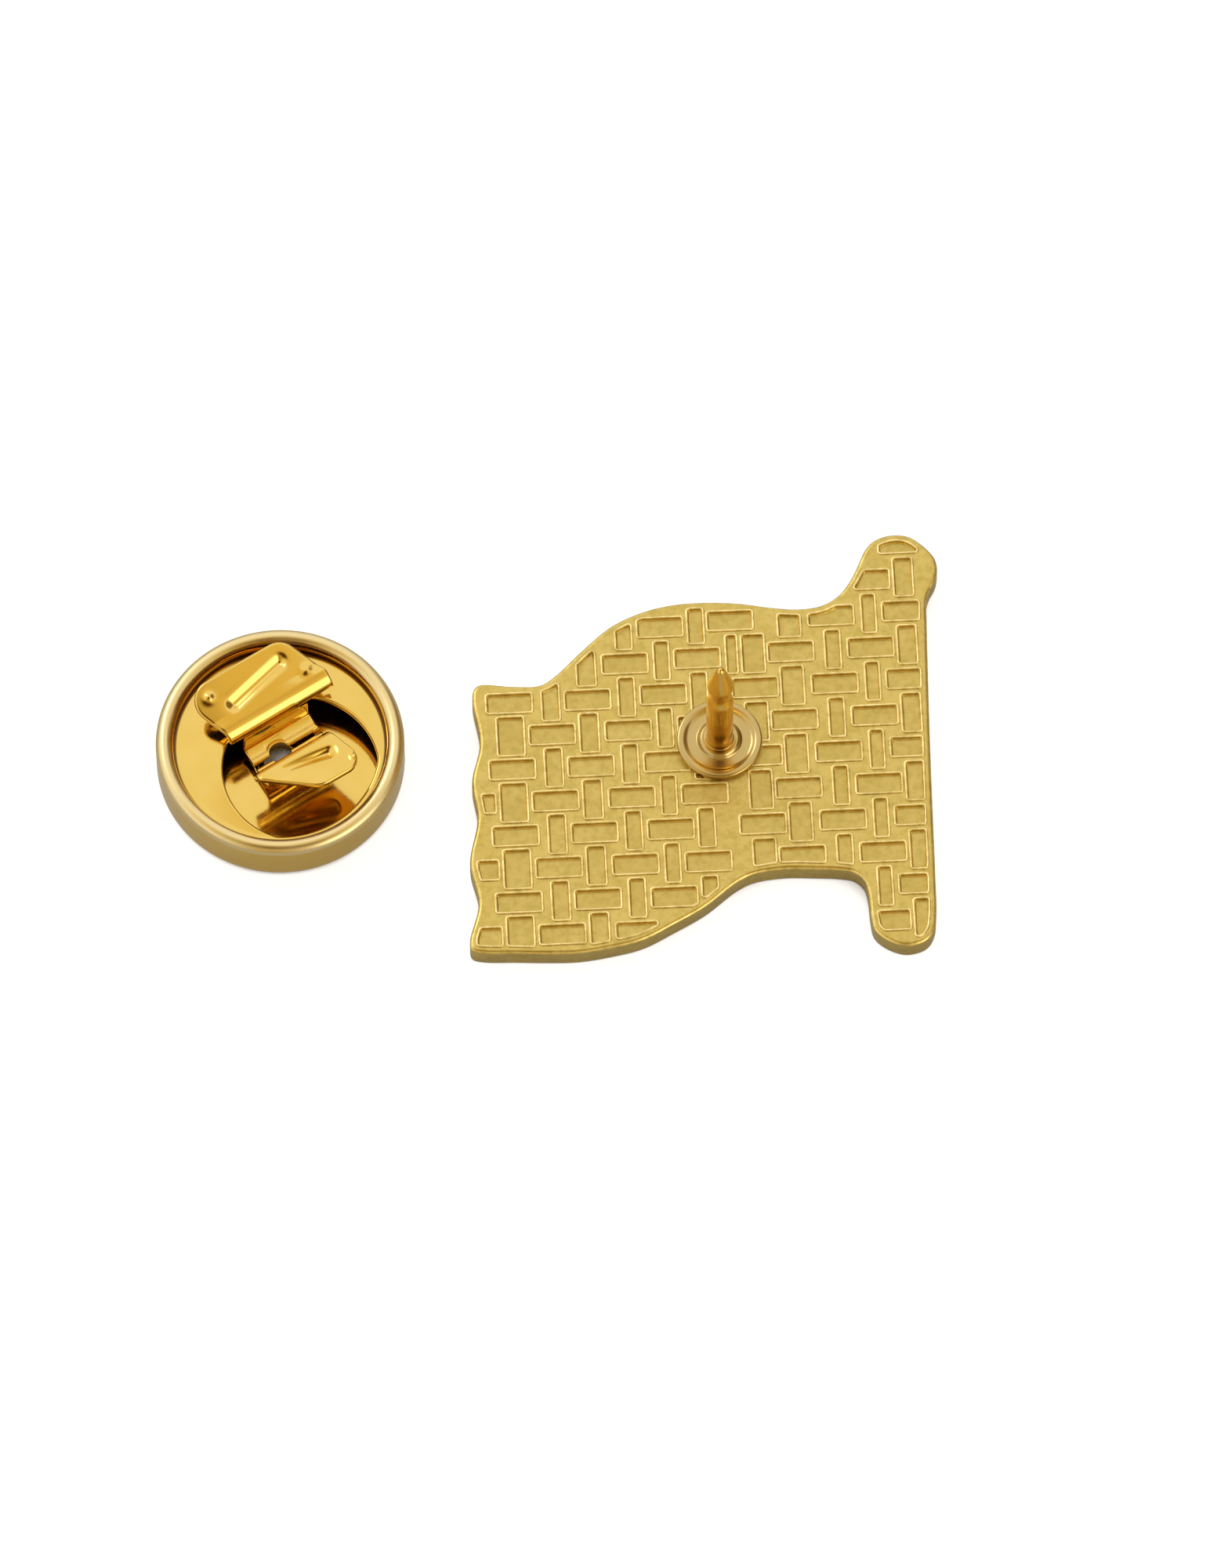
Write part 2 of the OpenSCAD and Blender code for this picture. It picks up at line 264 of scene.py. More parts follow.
def makeSatinGold():
    look = satinGoldLook
    material, tree, shader, vector = startMetal("satinGold")
    sizes = {"Grain_Size": look["grainSize"], "Blotch_Size": look["blotchSize"]}
    grain = placeGroup(tree, struckGrain, Vector=vector, **sizes)
    height = addNode(tree, "SeparateXYZ", None, Vector=vector).outputs["Z"]
    # colour by height: a painted highlight on the beads and the pits' walls, and painted shade on the pits'
    # floors
    tone = blend(tree, remap(tree, height, look["beadHighlightBand"], smooth=True), look["web"], look["bead"])
    tone = blend(tree, remap(tree, height, look["wallHighlightBand"], smooth=True), tone, look["pitWallHighlight"])
    tone = blend(tree, remap(tree, height, look["floorShadeBand"], smooth=True), tone, look["pitShade"])
    blotched = remap(tree, grain.outputs["Blotch"], look["blotchBand"], (0.0, look["blotchShare"]))
    tone = blend(tree, blotched, tone, look["blotch"])
    cloud = placeGroup(tree, struckGrain, Vector=vector, Grain_Size=look["mottleSize"])
    mottled = remap(tree, cloud.outputs["Height"], look["mottleBand"], (0.0, look["mottleShare"]))
    tree.links.new(blend(tree, mottled, tone, look["mottle"]), shader.inputs["Base Color"])
    rough = remap(tree, grain.outputs["Blotch"], look["roughnessBand"], look["roughness"])
    tree.links.new(rough, shader.inputs["Roughness"])
    swell = addNode(
        tree, "Bump", None, Height=grain.outputs["Blotch"], Strength=1.0, Distance=look["swellHeight"],
    )
    bump = addNode(
        tree, "Bump", None, Height=grain.outputs["Height"], Normal=swell.outputs[0],
        Strength=look["grainStrength"], Distance=look["grainHeight"],
    )
    tree.links.new(bump.outputs[0], shader.inputs["Normal"])
    return material


polish = {
    "smudgeSize": 1.6, "roughnessBand": (0.3, 0.7),
    "dentSize": 0.8, "dentHeight": 0.004 * mm, "dentStrength": 0.5,
    # painted shade: the spring plate's edge gets a dark ring, for the shadow in the gap under the rolled rim
    "rimShadeBand": (4.76, 4.86), "rimShade": (0.13, 0.055, 0.015, 1),  # the dark line inside the rolled rim
}


def makePolishedGold(name, look, rimShadeAt=None):
    material, tree, shader, vector = startMetal(name)
    smudge = placeGroup(tree, handling, Vector=vector, Smudge_Size=polish["smudgeSize"]).outputs["Smudge"]
    tone = blend(tree, smudge, look["clean"], look["smudged"])
    # painted shade: near the rim the plate's colour goes over into the dark ring
    if rimShadeAt:
        centre = (-rimShadeAt[0], -rimShadeAt[1], 0)
        centred = addNode(tree, "Mapping", None, Vector=vector, Location=centre, Scale=(1.0, 1.0, 0.0))
        away = addNode(tree, "VectorMath", {"operation": "LENGTH"}, in0=centred.outputs[0])
        rimShadeShare = remap(tree, away.outputs["Value"], polish["rimShadeBand"], smooth=True)
        tone = blend(tree, rimShadeShare, tone, polish["rimShade"])
    tree.links.new(tone, shader.inputs["Base Color"])
    rough = remap(tree, smudge, polish["roughnessBand"], look["roughness"])
    tree.links.new(rough, shader.inputs["Roughness"])
    grain = placeGroup(tree, struckGrain, Vector=vector, Grain_Size=polish["dentSize"])
    bump = addNode(
        tree, "Bump", None, Height=grain.outputs["Height"],
        Strength=polish["dentStrength"], Distance=polish["dentHeight"],
    )
    tree.links.new(bump.outputs[0], shader.inputs["Normal"])
    return material


polishedGoldLook = {
    "clean": (0.74, 0.49, 0.095, 1),
    "smudged": (0.8, 0.57, 0.17, 1),
    "roughness": (0.07, 0.14),
}

amberGoldLook = {
    "clean": (0.80, 0.48, 0.08, 1),
    "smudged": (0.84, 0.56, 0.14, 1),
    "roughness": (0.14, 0.24),
}

footGoldLook = {
    "clean": (0.5, 0.36, 0.13, 1),
    "smudged": (0.58, 0.43, 0.18, 1),
    "roughness": (0.16, 0.26),
}

# painted sheen: the rolled rim gets a paler, whiter gold than the cup it is rolled from
rimSheenGoldLook = {
    "clean": (0.76, 0.6, 0.28, 1),
    "smudged": (0.8, 0.65, 0.36, 1),
    "roughness": (0.26, 0.36),
}

satinGold = makeSatinGold()
polishedGold = makePolishedGold("polishedGold", polishedGoldLook)
amberGold = makePolishedGold("amberGold", amberGoldLook)
footGold = makePolishedGold("footGold", footGoldLook)
rimSheenGold = makePolishedGold("rimSheenGold", rimSheenGoldLook)
# the spring plate's gold, with painted shade in a ring near the rim
rimShadedGold = makePolishedGold("rimShadedGold", polishedGoldLook, rimShadeAt=clutchAxis)
print("metals made")


# Badge: the outline's knots from the post's axis, going round clockwise

badge = {
    "thickness": 1.2, "border": 0.36, "edgeRound": 0.16,
    # the hidden front: a sunk field that ends where the pole starts
    "frontSink": 0.2, "frontSlope": 0.08, "frontRound": 0.2, "poleFrom": 6.9,
    # the weave; a brick cut to less than smallestBrick, in square mm, is left out
    "cornerRound": 0.09, "smallestBrick": 0.03, "brickDepth": 0.12, "lipWidth": 0.1, "slopeWidth": 0.07,
    "cutStep": 0.02, "cutTolerance": 0.012,
    "edgeKnots": [  # across a brick's edge as [inward, down]: a raised bead, then the wall
        (-0.1, 0), (-0.094, -0.028), (-0.078, -0.05), (-0.03, -0.054), (0, -0.048),
        (0.015, -0.02), (0.03, 0.05), (0.05, 0.105), (0.07, 0.12),
    ],
    "lying": (2.07, 0.93), "uprightLength": 1.92,
    "turn": 2.8, "start": (-9.4, -4.8), "rows": (-4, 9),
    "columns": [  # place along a row, rise, step from row to row, upright width, and 1 where the odd rows lie
        (-1.9, 0, 1.69, 0.72, 1),
        (0, 0, 1.69, 1.2, 0),
        (1.92, 0, 1.69, 0.76, 1),
        (3.64, 0, 1.69, 0.82, 0),
        (5.45, 0, 1.705, 0.7, 1),
        (7.16, 0, 1.72, 0.64, 0),
        (8.82, 0, 1.73, 0.7, 1),
        (10.42, 0.07, 1.74, 0.46, 0),
        (11.42, 0.06, 1.74, 1.0, 0),
        (13.16, 0.08, 1.74, 1.0, 1),
        (15.12, 0.1, 1.74, 0.66, 0),
        (16.88, 0.12, 1.74, 0.6, 1),
        (18.58, 0.18, 1.74, 0.84, 0),
    ],
    "shortColumn": (7, 5),  # it is only above the foot, from this row on
    "leftOut": [(0, -2), (0, 0), (0, 3), (2, 5), (3, 6), (5, -3), (8, 6), (11, 8)],  # as [column, row]
    "knots": [
        (-11.43, 2.04), (-11.38, 2.66), (-11.1, 2.93), (-9.6, 2.86), (-8.3, 2.92), (-7.6, 3.4), (-6.45, 4.6),
        (-5, 5.94), (-3.55, 6.68), (-2.1, 7.06), (-0.5, 7.18), (1, 7.12), (2.4, 6.92), (3.7, 6.84),
        (4.75, 7.02), (5.54, 7.52), (6.02, 8.16), (6.36, 8.84),
        (6.9, 10.04), (7.4, 10.46), (8.12, 10.66), (8.8, 10.58), (9.35, 10.24),
        (10, 9.52), (10.15, 8.96), (10.05, 8.3), (9.78, 7.76),
        (9.64, 7.2), (9.64, 6.2), (9.7, 2), (9.79, -2), (9.93, -7), (9.96, -8.7),
        (9.86, -9.5), (9.5, -10.05), (8.6, -10.33), (7.7, -10.05), (7.1, -9.52), (6.93, -8.8), (6.82, -7.7),
        (6.62, -7.02), (6.16, -6.62),
        (5.5, -6.5), (4.4, -6.46), (3, -6.46), (1.6, -6.7), (0.8, -7.12), (-0.65, -8.34), (-2.1, -9.24),
        (-3.55, -10.04), (-5, -10.44), (-6.5, -10.7), (-8, -10.74), (-9.4, -10.72), (-10.9, -10.7),
        (-11.4, -10.56), (-11.5, -10.1), (-11.1, -8.16), (-11.51, -6.16), (-11.17, -3.9), (-11.43, -2.04),
        (-11.08, -0.06),
    ],
}
outline = smoothThrough(badge["knots"], 8)
postAt = Vector((
    badgeLow[0] / mm - min(p.x for p in outline),
    badgeLow[1] / mm - min(p.y for p in outline),
))


def insetPath(path, by):
    # points that come nearer to the path than the inset, as behind a tight bend, are dropped
    nearest = 0.96 * by
    moved = []
    for i, here in enumerate(path):
        way = (path[(i + 1) % len(path)] - path[i - 1]).normalized()
        point = here + by * Vector((way.y, -way.x))
        if min((point - other).length for other in path) > nearest:
            moved.append(point)
    return moved


def isInside(point, path):
    inside = False
    for i, b in enumerate(path):
        a = path[i - 1]
        if (a.y > point.y) != (b.y > point.y) and point.x < a.x + (point.y - a.y) * (b.x - a.x) / (b.y - a.y):
            inside = not inside
    return inside


def pathArea(path):
    return abs(sum(a.x * b.y - b.x * a.y for a, b in zip(path, path[1:] + path[:1]))) / 2


def brickOutlines(innerField):
    # each brick as a clockwise path, cut where it meets the plain border; it is drawn narrower by the
    # corners' rounding and then widened by it, which rounds every corner alike
    size = badge
    turn, soft = math.radians(size["turn"]), size["cornerRound"]
    along, up = Vector((math.cos(turn), math.sin(turn))), Vector((-math.sin(turn), math.cos(turn)))
    found = []
    short, shortFrom = size["shortColumn"]
    for i, (place, rise, step, uprightWidth, oddLie) in enumerate(size["columns"]):
        for j in range(size["rows"][0], size["rows"][1] + 1):
            if (i, j) in size["leftOut"] or (i == short and j < shortFrom):
                continue
            middle = Vector(size["start"]) + along * place + up * (rise + j * step)
            lying = j % 2 == oddLie
            w, h = size["lying"] if lying else (uprightWidth, size["uprightLength"])
            w, h = w / 2 - soft, h / 2 - soft
            corners = [middle + along * x * w + up * y * h for x, y in ((-1, 1), (1, 1), (1, -1), (-1, -1))]
            ring = corners
            if not all(isInside(c, innerField) for c in corners):
                ring = [
                    p for p in innerField
                    if abs((p - middle).dot(along)) < w and abs((p - middle).dot(up)) < h
                ]
                for a, b in zip(corners, corners[1:] + corners[:1]):
                    pieces = max(2, int((b - a).length / size["cutStep"]))
                    steps = [a.lerp(b, s / pieces) for s in range(pieces)]
                    ring += [p for p in steps if isInside(p, innerField)]
                if len(ring) < 3:
                    continue
                centre = sum(ring, Vector((0, 0))) / len(ring)
                ring.sort(key=lambda p: -math.atan2((p - centre).y, (p - centre).x))
                ring = straightened(ring, size["cutTolerance"])
            if len(ring) > 2 and pathArea(ring) > size["smallestBrick"]:
                found.append(widened(ring, soft))
    return found


def straightened(ring, tolerance):
    # drops the points of nearly straight stretches of a closed path
    def thin(part):
        a, b = part[0], part[-1]
        away = [abs((p - a).cross(b - a)) / (b - a).length for p in part]
        far = away.index(max(away))
        if away[far] <= tolerance or len(part) < 3:
            return [a, b]
        return thin(part[:far + 1])[:-1] + thin(part[far:])
    first = max(range(len(ring)), key=lambda i: (ring[i] - ring[0]).length)
    ring = ring[first:] + ring[:first]
    half = max(range(len(ring)), key=lambda i: (ring[i] - ring[0]).length)
    return thin(ring[:half + 1])[:-1] + thin(ring[half:] + ring[:1])[:-1]


def widened(ring, by, arcStep=18):
    # a clockwise path moved outwards, with an arc round each corner
    moved = []
    for i, here in enumerate(ring):
        before, after = here - ring[i - 1], ring[(i + 1) % len(ring)] - here
        outs = [Vector((-way.y, way.x)).normalized() for way in (before, after)]
        angle = outs[0].angle(outs[1])
        if before.cross(after) > 0:
            moved.append(here + (outs[0] + outs[1]).normalized() * by / math.cos(angle / 2))
            continue
        steps = max(1, round(angle / math.radians(arcStep)))
        moved += [here + by * outs[0].lerp(outs[1], k / steps).normalized() for k in range(steps + 1)]
    return moved


def pathCurve(name, paths, z, at=postAt, closed=True):
    curve = bpy.data.curves.new(name, "CURVE")
    curve.dimensions = "3D"
    for path in paths:
        spline = curve.splines.new("POLY")
        spline.points.add(len(path) - 1)
        for point, p in zip(spline.points, path):
            point.co = ((at.x + p.x) * mm, (at.y + p.y) * mm, z * mm, 1)
        spline.use_cyclic_u = closed
    shown = bpy.data.objects.new(name, curve)
    scene.collection.objects.link(shown)
    return shown


class TreeMaker:
    # a short way to place and join the nodes of a geometry tree
    def __init__(self, name, inputs):
        self.tree = bpy.data.node_groups.new(name, "GeometryNodeTree")
        self.tree.interface.new_socket("Geometry", in_out="INPUT", socket_type="NodeSocketGeometry")
        self.sockets = {}
        for label, kind in inputs:
            socket = self.tree.interface.new_socket(label, in_out="INPUT", socket_type=kind)
            self.sockets[label] = socket.identifier
        self.tree.interface.new_socket("Geometry", in_out="OUTPUT", socket_type="NodeSocketGeometry")
        self.inlet = self.tree.nodes.new("NodeGroupInput").outputs
        self.outlet = self.tree.nodes.new("NodeGroupOutput").inputs

    def add(self, kind, **inputs):
        return feed(self.tree, self.tree.nodes.new("GeometryNode" + kind), inputs).outputs

    def math(self, operation, a, b=0.0):
        return addNode(self.tree, "Math", {"operation": operation}, in0=a, in1=b).outputs[0]

    def vector(self, x, y, z=0.0):
        return addNode(self.tree, "CombineXYZ", None, in0=x, in1=y, in2=z).outputs[0]

    def shape(self, socket):
        return self.add("ObjectInfo", Object=socket)["Geometry"]

    def join(self, *parts):
        node = self.tree.nodes.new("GeometryNodeJoinGeometry")
        for part in parts:
            self.tree.links.new(part, node.inputs[0])
        return node.outputs[0]

    def inward(self, curve, by, down):
        # a curve moved to its inner side and down
        normal = self.add("InputNormal")[0]
        side = addNode(self.tree, "VectorMath", {"operation": "SCALE"}, in0=normal, Scale=by).outputs[0]
        drop = self.vector(0.0, 0.0, self.math("MULTIPLY", down, -1.0))
        offset = addNode(self.tree, "VectorMath", {"operation": "ADD"}, in0=side, in1=drop).outputs[0]
        return self.add("SetPosition", Geometry=curve, Offset=offset)[0]

    def fill(self, curve, height):
        # a flat face inside a curve; the fill itself falls to the ground, so it is lifted back
        flat = self.add("FillCurve", Curve=curve)[0]
        return self.add("SetPosition", Geometry=flat, Offset=self.vector(0.0, 0.0, height))[0]

    def slope(self, curve, by, down, softness=0.5, steps=7):
        # a wall swept along a curve, which leaves the upper face and meets the lower one without a crease
        reach = self.math("MULTIPLY", by, softness)
        back = self.math("SUBTRACT", by, reach)
        return self.sweep(curve, (0.0, 0.0), (reach, 0.0), (back, down), (by, down), steps)

    def sweep(self, curve, start, startHandle, endHandle, end, steps):
        # a bent strip along a curve; its points are [inward, down]
        profile = self.add(
            "CurvePrimitiveBezierSegment", Resolution=steps, Start=self.vector(*start),
            Start_Handle=self.vector(*startHandle), End_Handle=self.vector(*endHandle), End=self.vector(*end),
        )[0]
        return self.add("CurveToMesh", Curve=curve, Profile_Curve=profile)[0]


def makeStruckPlate():
    # the tree takes the bricks' outlines; the badge's outline, the front's and a brick's edge are objects
    make = TreeMaker("struckPlate", [
        ("Outline", "NodeSocketObject"),
        ("Front", "NodeSocketObject"),
        ("Brick Edge", "NodeSocketObject"),
        ("Thickness", "NodeSocketFloat"),
        ("Edge Round", "NodeSocketFloat"),
        ("Front Sink", "NodeSocketFloat"),
        ("Front Slope", "NodeSocketFloat"),
        ("Brick Depth", "NodeSocketFloat"),
        ("Lip Width", "NodeSocketFloat"),
        ("Slope Width", "NodeSocketFloat"),
        ("Metal", "NodeSocketMaterial"),
    ])
    inlet = make.inlet
    edge, front, brickEdge = (make.shape(inlet[label]) for label in ("Outline", "Front", "Brick Edge"))
    bricks, depth = inlet["Geometry"], inlet["Brick Depth"]
    round_, thick = inlet["Edge Round"], inlet["Thickness"]

    pitWalls = make.add("CurveToMesh", Curve=bricks, Profile_Curve=brickEdge)[0]
    floorEdges = make.inward(bricks, inlet["Slope Width"], depth)
    pitFloors = make.fill(floorEdges, make.math("SUBTRACT", thick, depth))

    rim = make.inward(edge, round_, 0.0)
    lips = make.inward(bricks, make.math("MULTIPLY", inlet["Lip Width"], -1.0), 0.0)
    web = make.fill(make.join(rim, lips), thick)

    bend = make.math("MULTIPLY", round_, 0.45)  # a handle of this share makes a quarter round
    low = make.math("SUBTRACT", thick, round_)
    lowBend = make.math("SUBTRACT", thick, bend)
    topStrip = make.sweep(edge, (round_, 0.0), (bend, 0.0), (0.0, bend), (0.0, round_), 5)
    sideStrip = make.sweep(edge, (0.0, round_), (0.0, round_), (0.0, low), (0.0, low), 2)
    bottomStrip = make.sweep(edge, (0.0, low), (0.0, lowBend), (bend, thick), (round_, thick), 5)

    frontRim = make.inward(edge, round_, thick)
    frontFace = make.fill(make.join(frontRim, front), 0.0)
    sink = make.math("MULTIPLY", inlet["Front Sink"], -1.0)
    frontWall = make.slope(front, inlet["Front Slope"], sink)
    frontFloor = make.fill(make.inward(front, inlet["Front Slope"], sink), inlet["Front Sink"])

    upper = (pitWalls, pitFloors, web, topStrip)
    whole = make.join(*upper, sideStrip, bottomStrip, frontFace, frontWall, frontFloor)
    merged = make.add("MergeByDistance", Geometry=whole, Distance=mergeReach)[0]
    real = make.add("RealizeInstances", Geometry=merged)[0]
    dressed = make.add("SetMaterial", Geometry=real, Material=inlet["Metal"])[0]
    make.tree.links.new(dressed, make.outlet[0])
    return make


def makeFrontPath():
    # the sunk field of the front, inside the border and short of the pole, with round corners
    soft = badge["frontRound"]
    inset = insetPath(outline, 2 * badge["border"] + soft)
    return widened([p for p in inset if p.x < badge["poleFrom"] - soft], soft)


innerField = insetPath(smoothThrough(badge["knots"], 24), badge["border"] + badge["cornerRound"])
bricks = brickOutlines(innerField)
print("bricks charted:", len(bricks))

struckPlate = makeStruckPlate()
brickGuide = pathCurve("brickGuide", bricks, badge["thickness"])
outlineGuide = pathCurve("outlineGuide", [outline], badge["thickness"])
frontGuide = pathCurve("frontGuide", [makeFrontPath()], 0.0)
edgePath = smoothThrough(badge["edgeKnots"], 2, closed=False)
edgeGuide = pathCurve("edgeGuide", [edgePath], 0.0, at=Vector((0, 0)), closed=False)
modifier = brickGuide.modifiers.new("struckPlate", "NODES")
modifier.node_group = struckPlate.tree
for label, value in (
    ("Outline", outlineGuide),
    ("Front", frontGuide),
    ("Brick Edge", edgeGuide),
    ("Thickness", badge["thickness"] * mm),
    ("Edge Round", badge["edgeRound"] * mm),
    ("Front Sink", badge["frontSink"] * mm),
    ("Front Slope", badge["frontSlope"] * mm),
    ("Brick Depth", badge["brickDepth"] * mm),
    ("Lip Width", badge["lipWidth"] * mm),
    ("Slope Width", badge["slopeWidth"] * mm),
    ("Metal", satinGold),
):
    modifier[struckPlate.sockets[label]] = value
badgePlate = madeSolid(brickGuide, "badgePlate")
tidyShell(badgePlate, 50)
level = 0.9999  # the wide level faces stay flat, and only the struck edges are smooth
for face in badgePlate.data.polygons:
    face.use_smooth = abs(face.normal.z) < level
for guide in (outlineGuide, frontGuide, edgeGuide):
    bpy.data.objects.remove(guide)
print("badge plate:", len(badgePlate.data.polygons), "faces")


# Post and its soldered foot

post = {
    "radius": 0.62, "length": 7.95, "pointLength": 1.9, "blunt": 0.14, "grooveRadius": 0.46,
    "footRadius": 2.0, "footHeight": 0.38, "footFrom": -0.2, "collarRadius": 0.92, "footColourFrom": 0.64,
    "turns": 128,
}


def makePost():
    size = post
    r, top, foot, collar = size["radius"], size["length"], size["footRadius"], size["collarRadius"]
    high = size["footHeight"]
    shoulder = top - size["pointLength"]
    groove = size["grooveRadius"]
    profile = roundedProfile([
        # the foot's side, its raised edge and its dish
        (foot - 0.02, size["footFrom"], 0), (foot - 0.02, high - 0.02, 0.12),
        (foot - 0.32, high, 0.1), (foot - 0.5, high - 0.13, 0.12),
        # the collar
        (collar + 0.12, high - 0.13, 0.06), (collar, high + 0.04, 0.08),
        (collar - 0.08, high + 0.1, 0.06), (r + 0.03, high + 0.06, 0.06),
        # the shaft and its groove
        (r, high + 0.3, 0.1), (r, top - 3.4, 0.15), (groove, top - 3.0, 0.14), (groove, top - 2.7, 0.2),
        # the head and its point
        (r - 0.03, shoulder - 0.25, 0.2), (r, shoulder, 0.15), (r - 0.1, shoulder + 0.45, 0.25),
        (0.2, top - 0.3, 0.2), (0, top - size["blunt"], 0),
    ])
    points, faces = turned(profile, size["turns"])
    points = [(postAt.x + x, postAt.y + y, badge["thickness"] + z) for x, y, z in points]
    rows = len(profile)
    faces.append([i * rows for i in range(size["turns"])])
    pin = newMesh("pinPost", points, faces, amberGold, 60)
    pin.data.materials.append(footGold)
    middle = Vector((*postAt, 0)) * mm
    for face in pin.data.polygons:
        away = face.center - middle
        face.material_index = 1 if math.hypot(away.x, away.y) > size["footColourFrom"] * mm else 0
    return pin


pinPost = makePost()
print("post made")


# Clutch: its pieces are drawn round its own axis, with u along the wings' folds

clutch = {
    "turn": 33.0, "cupRadius": 5.74, "cupHeight": 2.6, "rimWidth": 0.8, "sheet": 0.34, "lipHeight": 1.84,
    "footRound": 0.5, "holeRadius": 0.75, "bossRadius": 1.25, "bossSlope": 0.16, "bossHeight": 0.48,
    "turns": 192,
}
clutchTurn = math.radians(clutch["turn"])


def onClutch(u, v, z):
    c, s = math.cos(clutchTurn), math.sin(clutchTurn)
    return clutchAxis[0] + u * c - v * s, clutchAxis[1] + u * s + v * c, z


def arc(across, up, radius, first, last, step=10):
    # points round a centre, between two angles in degrees
    angles = [math.radians(a) for a in range(first, last + 1, step)]
    return [(across + radius * math.cos(a), up + radius * math.sin(a)) for a in angles]


def makeCup():
    size = clutch
    r, top, sheet, lip = size["cupRadius"], size["cupHeight"], size["sheet"], size["lipHeight"]
    rim, wall, soft = size["rimWidth"] / 2, size["cupRadius"] - size["sheet"], size["footRound"]
    hole, boss, bossTop = size["holeRadius"], size["bossRadius"], size["bossHeight"]
    bead = arc(r - rim, top - rim, rim, 0, 180)
    foot = arc(r - soft, soft, soft, 270, 360)
    inside = roundedProfile([
        # under the rolled rim and down the wall
        (r - 2 * rim, top - rim, 0), (r - 2 * rim, lip, 0.05), (wall, lip, 0.04),
        (wall, sheet + 0.3, 0.3), (wall - 0.3, sheet, 0.3),
        # over the boss and through the hole to the foot
        (boss, sheet, 0.12), (boss - size["bossSlope"], bossTop, 0.08),
        (hole, bossTop, 0.05), (hole, 0.0, 0.05), (r - soft, 0.0, 0),
    ])
    points, faces = turned(foot + bead + inside[1:], size["turns"])
    cup = newMesh("clutchCup", [onClutch(*p) for p in points], faces, polishedGold, 50)
    # the rolled rim takes the paler gold of the painted sheen
    cup.data.materials.append(rimSheenGold)
    middle = Vector((*clutchAxis, 0)) * mm
    for face in cup.data.polygons:
        away = face.center - middle
        rolled = math.hypot(away.x, away.y) > (wall - rim) * mm and away.z > (top - 2 * rim) * mm
        face.material_index = 1 if rolled else 0
    return cup


springPlate = {
    # the seat is the flat edge's width, and the ledge is what the opening leaves of the plate
    "radius": 5.28, "rise": 0.42, "crown": 1.2, "seat": 0.7, "easing": 0.12,
    "opening": 3.6, "openingAt": (0.2, -1.45), "fold": 1.44, "ledge": 0.72,
    "seatGap": 0.04, "edge": 0.1, "turns": 240, "rings": 26, "cornerEasings": 3,
}


def domeHeight(r):
    # the plate's upper face: flat at its edge, then rising smoothly to a flat crown
    size = springPlate
    foot, crown = size["radius"] - size["seat"], size["crown"]
    t = min(1, max(0, (foot - r) / (foot - crown)))
    return size["rise"] * (t - size["easing"] * math.sin(2 * math.pi * t) / math.pi)


def reachTo(radius, centre, way):
    # how far it is from a point to a circle round the clutch's axis
    along = centre.dot(way)
    return -along + math.sqrt(along * along - centre.length_squared + radius ** 2)


def openingReach(centre, way):
    # the opening is a circle, cut straight where the far wing stands and short of the plate's edge
    size = springPlate
    reach = size["opening"]
    if way.y > 0:
        reach = min(reach, (size["fold"] - centre.y) / way.y)
    return min(reach, reachTo(size["radius"] - size["ledge"], centre, way))


def makeSpringPlate():
    size = springPlate
    centre = Vector(size["openingAt"])
    top = clutch["lipHeight"] - size["seatGap"]
    inner, outer = [], []
    for i in range(size["turns"]):
        angle = 2 * math.pi * i / size["turns"]
        way = Vector((math.cos(angle), math.sin(angle)))
        inner.append(centre + way * openingReach(centre, way))
        outer.append(centre + way * reachTo(size["radius"], centre, way))
    for turn in range(size["cornerEasings"]):  # eases the two sharp corners of the opening
        inner = [(inner[i - 1] + 2 * inner[i] + inner[(i + 1) % len(inner)]) / 4 for i in range(len(inner))]
    e, sheet, rings = size["edge"], clutch["sheet"], size["rings"]
    points, faces = [], []
    for a, b in zip(inner, outer):
        way = (b - a).normalized()
        length = (b - a).length
        # each section goes up at the opening, out over the top, down at the edge and back below
        section = [(0, sheet - e * 0.5), (0, e), (e * 0.3, e * 0.3), (e, 0)]
        section += [(e + (length - 2 * e) * k / rings, 0) for k in range(1, rings)]
        section += [(length - e, 0), (length - e * 0.3, e * 0.3), (length, e), (length, sheet)]
        section += [(e + (length - 2 * e) * k / rings, sheet) for k in range(rings - 1, 0, -1)]
        section.append((e, sheet))
        rows = len(section)
        for x, drop in section:
            p = a + way * x
            points.append((p.x, p.y, top + domeHeight(p.length) - drop))
    for i in range(size["turns"]):
        j = (i + 1) % size["turns"]
        for k in range(rows):
            m = (k + 1) % rows
            faces.append((i * rows + k, j * rows + k, j * rows + m, i * rows + m))
    return newMesh("springPlate", [onClutch(*p) for p in points], faces, rimShadedGold, 50)


